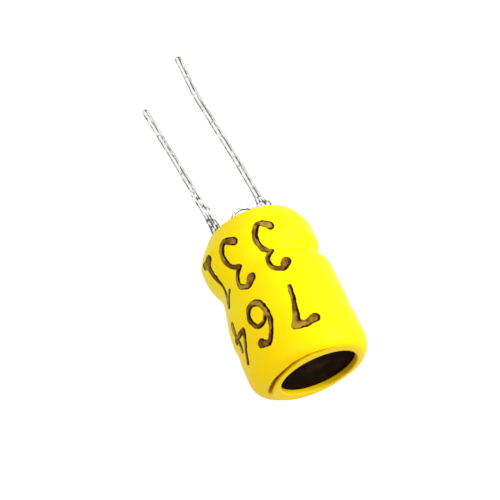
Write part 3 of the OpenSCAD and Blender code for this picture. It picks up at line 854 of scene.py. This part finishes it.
def lead_points(side, leans, ends, wires):
    """Points along a lead in millimetres, from inside the core to its tip."""
    foot = Vector((side * wires.pitch / MM / 2, 0, RUN_START))
    points = [foot + Vector((0, 0, height)) for height in ROOT_HEIGHTS]
    before = 0.0
    for lean, end in zip(leans, ends):
        turn = np.linspace(before, lean, BEND_STEPS + 1)
        for a, b in zip(turn[:-1], turn[1:]):
            step = LEAD_BEND * math.radians(abs(b - a))
            points.append(points[-1] + lean_vector((a + b) / 2, wires.lean_azimuth) * step)
        run = (points[-1].z - end) / math.cos(math.radians(lean))
        start = points[-1]
        for share in np.linspace(0, 1, int(run / LEAD_STEP))[1:]:
            points.append(start + lean_vector(lean, wires.lean_azimuth) * run * share)
        before = lean
    return points


def swept_wire_tree():
    """Geometry Nodes tree that sweeps a round wire along a curve and dents it lightly."""
    tree = bpy.data.node_groups.new("Swept wire", "GeometryNodeTree")
    face = tree.interface
    face.new_socket("Geometry", in_out="INPUT", socket_type="NodeSocketGeometry")
    for name, value in (("Wire Diameter", DEFAULT_WIRE * MM), ("Dent Depth", 0.0),
                        ("Dent Size", DENT_SIZE * MM)):
        face.new_socket(name, in_out="INPUT", socket_type="NodeSocketFloat").default_value = value
    for name, value in (("Sides", LEAD_SIDES), ("Seed", SEED)):
        face.new_socket(name, in_out="INPUT", socket_type="NodeSocketInt").default_value = value
    face.new_socket("Material", in_out="INPUT", socket_type="NodeSocketMaterial")
    face.new_socket("Geometry", in_out="OUTPUT", socket_type="NodeSocketGeometry")
    given = add(tree, "NodeGroupInput").outputs
    radius = add(tree, "ShaderNodeMath", {0: given["Wire Diameter"], 1: 0.5}, operation="MULTIPLY")
    circle = add(tree, "GeometryNodeCurvePrimitiveCircle", {"Resolution": given["Sides"],
                                                            "Radius": radius})
    share = add(tree, "GeometryNodeInputRadius")
    swept = add(tree, "GeometryNodeCurveToMesh", {"Curve": given["Geometry"], "Profile Curve": circle,
                                                  "Scale": share, "Fill Caps": True})
    scale = add(tree, "ShaderNodeMath", {0: 1.0, 1: given["Dent Size"]}, operation="DIVIDE")
    dents = add(tree, "ShaderNodeTexNoise", {"Scale": scale, "W": given["Seed"], "Detail": 1.0},
                noise_dimensions="4D")
    sunk = add(tree, "ShaderNodeMath", {0: dents, 1: -1.0}, operation="MULTIPLY")
    depth = add(tree, "ShaderNodeMath", {0: sunk, 1: given["Dent Depth"]}, operation="MULTIPLY")
    outwards = add(tree, "GeometryNodeInputNormal")
    push = add(tree, "ShaderNodeVectorMath", {0: outwards, "Scale": depth}, operation="SCALE")
    dented = add(tree, "GeometryNodeSetPosition", {"Geometry": swept, "Offset": push})
    smooth = add(tree, "GeometryNodeSetShadeSmooth", {"Geometry": dented})
    real = add(tree, "GeometryNodeRealizeInstances", {"Geometry": smooth})
    painted = add(tree, "GeometryNodeSetMaterial", {"Geometry": real, "Material": given["Material"]})
    add(tree, "NodeGroupOutput", {"Geometry": painted})
    return tree


def swept_piece(name, paths, tree, values):
    """Sweeps a wire along paths of (x, y, z, share of the radius) and returns it as a plain mesh."""
    curve = bpy.data.curves.new(name, "CURVE")
    curve.dimensions = "3D"
    for path in paths:
        spline = curve.splines.new("POLY")
        spline.points.add(len(path) - 1)
        for point, (x, y, z, share) in zip(spline.points, path):
            point.co = (x * MM, y * MM, z * MM, 1.0)
            point.radius = share
    guide = bpy.data.objects.new(name + "_guide", curve)
    bpy.context.scene.collection.objects.link(guide)
    modifier = guide.modifiers.new("Sweep", "NODES")
    modifier.node_group = tree
    sockets = {item.name: item.identifier for item in tree.interface.items_tree if item.in_out == "INPUT"}
    for key, value in values.items():
        modifier[sockets[key]] = value
    evaluated = guide.evaluated_get(bpy.context.evaluated_depsgraph_get())
    mesh = bpy.data.meshes.new_from_object(evaluated)
    mesh.name = name
    bpy.data.objects.remove(guide)
    return finished(bpy.data.objects.new(name, mesh))


def vertex_places(piece):
    """The vertices of a mesh as rows of (x, y, z) in millimetres."""
    places = np.empty(len(piece.data.vertices) * 3)
    piece.data.vertices.foreach_get("co", places)
    return places.reshape(-1, 3) / MM


def lengthwise_marks(places, points, marks):
    """How far each vertex lies on a mark along the wire, from 0 to 1."""
    path = np.array([tuple(p) for p in reversed(points)])
    x, y = (places[:, i] - np.interp(places[:, 2], path[:, 2], path[:, i]) for i in (0, 1))
    azimuth = np.degrees(np.arctan2(y, x))
    return np.max([strength * bell((azimuth - middle + 180) % 360 - 180, 0, half_width)
                   for middle, half_width, strength in marks], axis=0)


def rounded_tip(points, radius):
    """Gives each point of a lead its share of the radius, and rounds the sheared tip."""
    path = [(*p, 1.0) for p in points[:-1]]
    last, before = points[-1], points[-2]
    way = (last - before).normalized()
    for t in np.radians(np.linspace(0, TIP_ROUNDING, TIP_RINGS)):
        path.append((*(last - way * radius * TIP_FLATNESS * (1 - math.sin(t))), math.cos(t)))
    return path


class INDUCTOR_OT_leads(Operator):
    """Sweep the two tinned leads"""

    bl_idname = "inductor.leads"
    bl_label = "Leads"

    def execute(self, context):
        settings = context.scene.inductor
        wires = settings.wires
        tree = swept_wire_tree()
        material = tin_material(settings.finish)
        for node, (side, leans, ends, _) in LEADS.items():
            points = lead_points(side, leans, ends, wires)
            radius = wires.lead / MM / 2
            values = {"Wire Diameter": wires.lead, "Dent Depth": wires.dent, "Dent Size": DENT_SIZE * MM,
                      "Sides": LEAD_SIDES, "Seed": wires.seed + side, "Material": material}
            piece = swept_piece(node.replace("lead", "tinned_lead"), [rounded_tip(points, radius)], tree,
                                values)
            places = vertex_places(piece)
            sheared = smooth_step(ends[-1] + radius * SHEAR_HEIGHT, ends[-1], places[:, 2])
            point_attribute(piece, "sheared", sheared)
            point_attribute(piece, "dark_line", lengthwise_marks(places, points, DARK_LINES))
            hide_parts(node)
        return {"FINISHED"}


def wrap_point(lean, wires, turn, lean_turn):
    """A point of a tail's wraps round its lead, with its own lead on the +X side."""
    down = WRAP_START - turn * WRAP_PITCH
    radius = (wires.lead + wires.wire) / MM / 2 + FIT_GAP
    start = Vector((wires.pitch / MM / 2, 0, RUN_START))
    wrapped = polar(radius, WRAP_START_AZIMUTH + 2 * math.pi * turn)
    return start + lean_vector(lean, lean_turn) * down + wrapped


def tail_points(side, lean, wires):
    """A tail from the winding through its notch, hanging below the rim and wrapping its lead."""
    notch, sag = wires.notch_azimuth, wires.sag / MM
    lean_turn = wires.lean_azimuth - (0 if side > 0 else math.pi)
    knots = [polar(radius, notch - math.radians(back), z) for radius, back, z in TAIL_IN_NOTCH]
    knots += [polar(radius, notch - math.radians(back), -share * sag)
              for radius, back, share in TAIL_HANGING]
    knots.append(wrap_point(lean, wires, 0, lean_turn))
    points = [Vector(p) for p in smooth_path(knots, TAIL_STEPS)]
    turns = np.arange(1, WRAP_TURNS * WRAP_STEPS + 1) / WRAP_STEPS
    points += [wrap_point(lean, wires, turn, lean_turn) for turn in turns]
    return [(side * p.x, side * p.y, p.z, 1.0) for p in points]


def coil_paths(wires):
    """One helix for each span of each layer of the winding, every other layer wound back."""
    wire = wires.wire / MM
    paths = []
    for layer in range(LAYERS):
        radius = POST_RADIUS + FIT_GAP + wire / 2 + layer * wire * LAYER_NEST
        for start, stop in LAYER_SPANS.get(layer, (WINDOW,)):
            start, stop = start + wire / 2, stop - wire / 2
            steps = int((stop - start) / wire * wires.turn_steps)
            way = 2 * math.pi / wires.turn_steps * (1 if layer % 2 else -1)
            paths.append([(*polar(radius, way * i, start + (stop - start) * i / steps), 1.0)
                          for i in range(steps + 1)])
    return paths


class INDUCTOR_OT_winding(Operator):
    """Wind the coil and lead its tails to the leads"""

    bl_idname = "inductor.winding"
    bl_label = "Winding"

    def execute(self, context):
        settings = context.scene.inductor
        wires = settings.wires
        tree = swept_wire_tree()
        values = {"Wire Diameter": wires.wire, "Seed": wires.seed,
                  "Material": enamel_material(settings.finish)}
        coil = swept_piece("wound_coil", coil_paths(wires), tree, {**values, "Sides": COIL_SIDES})
        point_attribute(coil, "tinned", np.zeros(len(coil.data.vertices)))
        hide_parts("winding")
        for node, (side, leans, _, _) in LEADS.items():
            tail = swept_piece(node.replace("lead", "tail"), [tail_points(side, leans[0], wires)], tree,
                               {**values, "Sides": TAIL_SIDES})
            point_attribute(tail, "tinned", smooth_step(*TINNED_BELOW, vertex_places(tail)[:, 2]))
            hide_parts("winding")
        return {"FINISHED"}


def solder_body(s, run_out, bore, full):
    """Radius of the solder at a distance down the lead: a bulb over the wraps, then the run-out."""
    rise = math.sqrt(max(1 - ((BULB_LOW - s) / (BULB_LOW - SOLDER_START)) ** 2, 0))
    if s < BULB_LOW:
        return bore + SOLDER_FOOT + (full - bore - SOLDER_FOOT) * rise
    if s < BULB_END:
        return full
    left = 1 - ((s - BULB_END) / run_out) ** (1 / RUN_OUT_POWER)
    thinned = SOLDER_CUBE * left ** 3 + (1 - SOLDER_CUBE) * left
    return bore + SOLDER_SKIN + (full - bore - SOLDER_SKIN) * thinned


def solder_rings(side, lean, run_out, wires):
    """Rings of the solder over one lead's wraps and down the lead, with soft lumps."""
    rng = np.random.default_rng(wires.seed + side)
    bore = wires.lead / MM / 2
    foot = Vector((side * wires.pitch / MM / 2, 0, RUN_START))
    down = lean_vector(lean, wires.lean_azimuth)
    across = down.cross(Vector((0, 0, 1))).normalized()
    beside = down.cross(across)
    stop = BULB_END + run_out
    around = np.linspace(0, 2 * math.pi, SOLDER_AROUND, endpoint=False)
    phases = rng.uniform(0, 2 * math.pi, (LUMP_WAVES, 2))
    sections = []
    for s in np.linspace(SOLDER_START, stop, SOLDER_RINGS):
        lumps = sum(np.sin(k * around + round_phase) * np.sin(LUMP_TWIST * k * s + length_phase) / k
                    for k, (round_phase, length_phase) in enumerate(phases, 1))
        swell = LUMP_DEPTH[side] * lumps * smooth_step(stop, stop - LUMP_FADE, s)
        body = solder_body(s, run_out, bore, wires.solder_radius / MM)
        sections.append((s, np.maximum(body + swell, bore + LEAST_SKIN)))
    sections += [(stop, np.full(SOLDER_AROUND, bore)), (SOLDER_START, np.full(SOLDER_AROUND, bore))]
    return np.array([[tuple(foot + down * s + (across * math.cos(a) + beside * math.sin(a)) * r)
                      for a, r in zip(around, radii)] for s, radii in sections])


class INDUCTOR_OT_solder(Operator):
    """Run solder over the wraps and down the leads"""

    bl_idname = "inductor.solder"
    bl_label = "Solder"

    def execute(self, context):
        settings = context.scene.inductor
        material = solder_material(settings.finish)
        for node, (side, leans, ends, run_out) in LEADS.items():
            rings = solder_rings(side, leans[0], run_out, settings.wires)
            piece = ring_shell(node.replace("lead", "solder_run"), rings * MM, material)
            points = lead_points(side, leans, ends, settings.wires)
            streaks = lengthwise_marks(vertex_places(piece), points, STREAKS)
            point_attribute(piece, "streak", streaks)
            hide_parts(node + "_solder")
        return {"FINISHED"}


class INDUCTOR_OT_carried_parts(Operator):
    """Finish the ferrite core and the beads of glue"""

    bl_idname = "inductor.carried_parts"
    bl_label = "Core and glue"

    def execute(self, context):
        finish = context.scene.inductor.finish
        ferrite, epoxy = ferrite_material(finish), epoxy_material(finish)
        for node, material in (("drum_core", ferrite), ("long_lead_glue", epoxy),
                               ("short_lead_glue", epoxy)):
            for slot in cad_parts[node].material_slots:
                slot.link = "OBJECT"
                slot.material = material
        return {"FINISHED"}


# ---------------------------------------------------------------- studio

FLOOR_SIDES = 64
# the floor as the lamps see it, then as the camera and reflections see it: a tone that takes the
# shadow, and a glow added to it
PAPER = "#EFEFEF"
SHADOWED_PAPER = "#8A8A8A"
WHITE = "#FFFFFF"
FLOOR_GLOW = 0.9
CLIP_START = 1 * MM
# lamps: azimuth and elevation in degrees, distance and size in millimetres
KEY_LAMP = (-15, 12, 150, 90)
FILL_LAMP = (60, 35, 160, 80)


def seen_directly(tree):
    """1 for rays from the camera, in reflections and through clear surfaces, else 0."""
    rays = add(tree, "ShaderNodeLightPath").outputs
    indirect = add(tree, "ShaderNodeMath", {0: rays["Is Glossy Ray"], 1: rays["Is Transmission Ray"]},
                   operation="MAXIMUM")
    return add(tree, "ShaderNodeMath", {0: rays["Is Camera Ray"], 1: indirect}, operation="MAXIMUM")


def floor_material():
    """Matt white paper. Rays from the camera and in reflections see it near white, with the
    object's soft shadow left on it."""
    material, tree = new_material("Matt white paper")
    paper = add(tree, "ShaderNodeBsdfDiffuse", {"Color": linear(PAPER)})
    shadowed = add(tree, "ShaderNodeBsdfDiffuse", {"Color": linear(SHADOWED_PAPER)})
    glow = add(tree, "ShaderNodeEmission", {"Color": linear(WHITE), "Strength": FLOOR_GLOW})
    shown = add(tree, "ShaderNodeAddShader", {0: shadowed, 1: glow})
    mixed = add(tree, "ShaderNodeMixShader", {0: seen_directly(tree), 1: paper, 2: shown})
    add(tree, "ShaderNodeOutputMaterial", {"Surface": mixed})
    return material


def studio_world(level):
    """White for the camera, and an even light from all round."""
    world = bpy.data.worlds.new("White studio")
    world.use_nodes = True
    tree = world.node_tree
    tree.nodes.clear()
    strength = add(tree, "ShaderNodeMapRange", {"Value": seen_directly(tree), "To Min": level})
    sky = add(tree, "ShaderNodeBackground", {"Color": linear(WHITE), "Strength": strength})
    add(tree, "ShaderNodeOutputWorld", {"Surface": sky})
    return world


def direction(azimuth, elevation):
    """Unit vector towards an azimuth and elevation in radians."""
    return polar(math.cos(elevation), azimuth, math.sin(elevation))


def soft_lamp(name, place, power, aim):
    """A square soft lamp that faces the object."""
    azimuth, elevation, distance, size = place
    data = bpy.data.lights.new(name, "AREA")
    data.shape = "SQUARE"
    data.size = size * MM
    data.energy = power
    lamp = bpy.data.objects.new(name, data)
    back = direction(math.radians(azimuth), math.radians(elevation))
    lamp.location = aim + back * distance * MM
    lamp.rotation_euler = back.to_track_quat("Z", "Y").to_euler()
    bpy.context.scene.collection.objects.link(lamp)


class INDUCTOR_OT_studio(Operator):
    """Set up the floor, the lamps and the camera"""

    bl_idname = "inductor.studio"
    bl_label = "Studio"

    def execute(self, context):
        scene = context.scene
        studio = scene.inductor.studio
        low, high = CAD_BOX
        rim = [polar(studio.floor_radius, 2 * math.pi * i / FLOOR_SIDES, low.z)
               for i in range(FLOOR_SIDES)]
        mesh = bpy.data.meshes.new("floor")
        mesh.from_pydata([tuple(p) for p in rim], [], [tuple(range(FLOOR_SIDES))])
        mesh.materials.append(floor_material())
        floor = bpy.data.objects.new("floor", mesh)
        scene.collection.objects.link(floor)
        scene.world = studio_world(studio.world_level)
        soft_lamp("key_lamp", KEY_LAMP, studio.key_power, (low + high) / 2)
        soft_lamp("fill_lamp", FILL_LAMP, studio.fill_power, (low + high) / 2)
        data = bpy.data.cameras.new("camera")
        data.lens = studio.lens
        data.clip_start = CLIP_START
        camera = bpy.data.objects.new("camera", data)
        back = direction(studio.view_azimuth, studio.view_elevation)
        right = polar(1, studio.view_azimuth + math.pi / 2)
        upright = Matrix((right, back.cross(right), back)).transposed()
        turned = upright @ Matrix.Rotation(studio.view_roll, 3, "Z")
        place = Vector(studio.aim) + back * studio.view_distance
        camera.matrix_world = Matrix.Translation(place) @ turned.to_4x4()
        scene.collection.objects.link(camera)
        scene.camera = camera
        scene.view_settings.view_transform = "Standard"
        return {"FINISHED"}


class INDUCTOR_PT_builder(Panel):
    """Lists the steps that build the inductor"""

    bl_idname = "INDUCTOR_PT_builder"
    bl_label = "Drum Core Inductor"
    bl_space_type = "VIEW_3D"
    bl_region_type = "UI"
    bl_category = "Inductor"

    def draw(self, context):
        settings = context.scene.inductor
        for step in STEPS:
            self.layout.operator(step.bl_idname)
        for group in (settings.sleeve, settings.wires, settings.finish, settings.studio):
            box = self.layout.box()
            for name in group.bl_rna.properties.keys():
                if name not in {"rna_type", "name"}:
                    box.prop(group, name)


STEPS = (INDUCTOR_OT_shrink_sleeve, INDUCTOR_OT_leads, INDUCTOR_OT_winding, INDUCTOR_OT_solder,
         INDUCTOR_OT_carried_parts, INDUCTOR_OT_studio)
CLASSES = (SleeveSettings, WireSettings, FinishSettings, StudioSettings, InductorSettings, *STEPS,
           INDUCTOR_PT_builder)


def register():
    for cls in CLASSES:
        bpy.utils.register_class(cls)
    bpy.types.Scene.inductor = PointerProperty(type=InductorSettings)


def unregister():
    del bpy.types.Scene.inductor
    for cls in reversed(CLASSES):
        bpy.utils.unregister_class(cls)


def main():
    register()
    bpy.ops.inductor.shrink_sleeve()
    bpy.ops.inductor.leads()
    bpy.ops.inductor.winding()
    bpy.ops.inductor.solder()
    bpy.ops.inductor.carried_parts()
    bpy.ops.inductor.studio()


if __name__ == "__main__":
    main()
